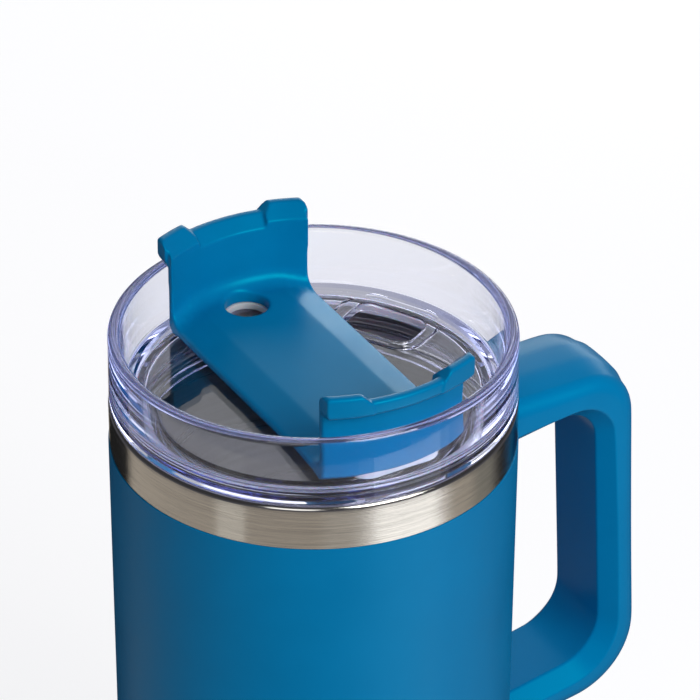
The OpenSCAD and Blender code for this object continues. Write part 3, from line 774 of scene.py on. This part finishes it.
def buildFloor():
    mesh = bpy.data.meshes.new("floor")
    mesh.from_pydata([(-6, -6, 0), (6, -6, 0), (6, 6, 0), (-6, 6, 0)], [], [(0, 1, 2, 3)])
    floor = bpy.data.objects.new("floor", mesh)
    floor.location.z = cadLow.z - 0.0002
    bpy.context.scene.collection.objects.link(floor)
    material = bpy.data.materials.new("paleFloor")
    material.use_nodes = True
    tree = material.node_tree
    shader = tree.nodes["Principled BSDF"]
    shader.inputs["Base Color"].default_value = (*studio["floorTone"], 1)
    shader.inputs["Roughness"].default_value = 0.8
    shader.inputs["Specular IOR Level"].default_value = 0.1
    glow = tree.nodes.new("ShaderNodeEmission")
    glow.inputs["Color"].default_value = (*studio["background"], 1)
    glow.inputs["Strength"].default_value = studio["floorShine"]
    seen = mixShaders(tree, studio["floorGlow"], shader.outputs[0], glow.outputs[0])
    bounce = tree.nodes.new("ShaderNodeBsdfDiffuse")
    bounce.inputs["Color"].default_value = (*(studio["floorBounce"],) * 3, 1)
    dim = tree.nodes.new("ShaderNodeEmission")
    dim.inputs["Color"].default_value = (*studio["floorGloss"], 1)
    path = tree.nodes.new("ShaderNodeLightPath")
    straight = straightRay(tree, path)
    mirrored = mathNode(tree, "GREATER_THAN", path.outputs["Glossy Depth"], 0.5)
    unseen = mixShaders(tree, mirrored, bounce.outputs[0], dim.outputs[0])
    shown = mixShaders(tree, straight, unseen, seen)
    tree.links.new(shown, tree.nodes["Material Output"].inputs["Surface"])
    floor.data.materials.append(material)


def aimAt(thing, target):
    thing.rotation_mode = "QUATERNION"
    thing.rotation_quaternion = (Vector(target) - thing.location).to_track_quat("-Z", "Y")


def spotAround(azimuth, elevation, distance, centre):
    a, e = math.radians(azimuth), math.radians(elevation)
    return Vector(centre) + Vector((math.sin(a) * math.cos(e), -math.cos(a) * math.cos(e), math.sin(e))) * distance


aim = (0, 0, rimTop * mm)
lamps = {
    "keySoftbox": {"azimuth": 10, "elevation": 31, "distance": 0.9, "size": (0.5, 0.5), "power": 6.6,
                   "tone": (1.0, 0.99, 0.97)},
    "frontSoftbox": {"azimuth": -40, "elevation": 15, "distance": 0.9, "size": (0.4, 0.4), "power": 0.9,
                     "tone": (1.0, 1.0, 1.0)},
    "backSoftbox": {"azimuth": 150, "elevation": 31, "distance": 1.0, "size": (0.90, 0.30), "power": 0.8,
                    "tone": (0.96, 0.98, 1.0)},
    "rimSoftbox": {"azimuth": 138, "elevation": 10, "distance": 1.0, "size": (0.80, 0.26), "power": 2.6,
                   "tone": (0.96, 0.98, 1.0)},
}


def buildLamps():
    for name, lamp in lamps.items():
        data = bpy.data.lights.new(name, "AREA")
        data.shape, data.size, data.size_y = "RECTANGLE", lamp["size"][0], lamp["size"][1]
        data.energy, data.color = lamp["power"], lamp["tone"]
        light = bpy.data.objects.new(name, data)
        light.location = spotAround(lamp["azimuth"], lamp["elevation"], lamp["distance"], aim)
        aimAt(light, aim)
        light.visible_camera = False
        bpy.context.scene.collection.objects.link(light)


# a glowing ring lying low round the mug, seen only in reflections: painted reflections, brighter and darker patches
# by azimuth over a base glow for the rest of the ring; patches are (start, end, glow tone)
paintedReflections = {"inner": 0.10, "outer": 0.376, "restGlow": (0.50, 0.45, 0.385),
          "lift": 0.0006,
          "patches": ((-190, -149, (0.015, 0.015, 0.015)), (-82, -66, (0.80, 0.76, 0.68)),
                      (-24, -6, (0.58, 0.54, 0.48)), (-6, 2, (0.84, 0.81, 0.76)), (2, 41, (1.75, 1.74, 1.71)),
                      (41, 47, (0.95, 0.91, 0.86)), (66, 87, (0.27, 0.26, 0.23)), (87, 140, (0.025, 0.025, 0.027)))}


def buildReflectionGlow():
    steps = 360
    verts, faces = [], []
    for i in range(steps):
        a = math.radians(i)
        for r in (paintedReflections["inner"], paintedReflections["outer"]):
            verts.append((r * math.sin(a), -r * math.cos(a), 0))
    for i in range(steps):
        j = (i + 1) % steps
        faces.append((2 * i, 2 * i + 1, 2 * j + 1, 2 * j))
    mesh = bpy.data.meshes.new("paintedReflectionRing")
    mesh.from_pydata(verts, [], faces)
    tones = mesh.attributes.new("tone", "FLOAT_COLOR", "FACE")
    for i in range(steps):
        tone = paintedReflections["restGlow"]
        for start, end, patch in paintedReflections["patches"]:
            if (i - start) % 360 < end - start:
                tone = patch
        tones.data[i].color = (*tone, 1)
    material = bpy.data.materials.new("paintedReflectionGlow")
    material.use_nodes = True
    tree = material.node_tree
    # painted reflections: each face of the ring glows with its patch's tone, and only reflections see it
    glow = tree.nodes.new("ShaderNodeEmission")
    read = tree.nodes.new("ShaderNodeAttribute")
    read.attribute_name = "tone"
    tree.links.new(read.outputs["Color"], glow.inputs["Color"])
    tree.links.new(glow.outputs[0], tree.nodes["Material Output"].inputs["Surface"])
    mesh.materials.append(material)
    ring = bpy.data.objects.new("paintedReflectionRing", mesh)
    ring.location.z = cadLow.z + paintedReflections["lift"]
    bpy.context.scene.collection.objects.link(ring)
    ring.visible_camera = ring.visible_diffuse = ring.visible_shadow = ring.visible_transmission = False


view = {"azimuth": -29.5, "elevation": 32.23, "distance": 1.300, "lens": 275.8, "shift": (0.0522, -0.0306)}


def buildCamera():
    data = bpy.data.cameras.new("camera")
    data.lens, data.sensor_width = view["lens"], 36
    data.shift_x, data.shift_y = view["shift"]
    data.clip_start, data.clip_end = 0.05, 30
    camera = bpy.data.objects.new("camera", data)
    camera.location = spotAround(view["azimuth"], view["elevation"], view["distance"], aim)
    aimAt(camera, aim)
    bpy.context.scene.collection.objects.link(camera)
    bpy.context.scene.camera = camera


def buildSky():
    world = bpy.data.worlds.new("studioSky")
    bpy.context.scene.world = world
    world.use_nodes = True
    tree = world.node_tree
    fill = tree.nodes["Background"]
    fill.inputs["Color"].default_value = (*studio["fill"], 1)
    fill.inputs["Strength"].default_value = studio["fillPower"]
    gloss = tree.nodes.new("ShaderNodeBackground")
    gloss.inputs["Color"].default_value = (*studio["gloss"], 1)
    seen = tree.nodes.new("ShaderNodeBackground")
    seen.inputs["Color"].default_value = (*studio["background"], 1)
    inside = tree.nodes.new("ShaderNodeBackground")
    inside.inputs["Color"].default_value = (*studio["insideGloss"], 1)
    path = tree.nodes.new("ShaderNodeLightPath")
    straight = straightRay(tree, path)
    within = mathNode(tree, "GREATER_THAN", path.outputs["Transmission Depth"], 0.5)
    glossy = mixShaders(tree, within, gloss.outputs[0], inside.outputs[0])
    mirrored = mathNode(tree, "GREATER_THAN", path.outputs["Glossy Depth"], 0.5)
    lit = mixShaders(tree, mirrored, fill.outputs[0], glossy)
    shown = mixShaders(tree, straight, lit, seen.outputs[0])
    tree.links.new(shown, tree.nodes["World Output"].inputs["Surface"])


paths = bpy.context.scene.cycles     # clear plastic needs more bounces than the default
paths.max_bounces, paths.glossy_bounces, paths.transmission_bounces = 24, 16, 24
buildFloor()
buildLamps()
buildReflectionGlow()
buildSky()
buildCamera()
bpy.context.scene.view_settings.view_transform = "Standard"
print("studio built")
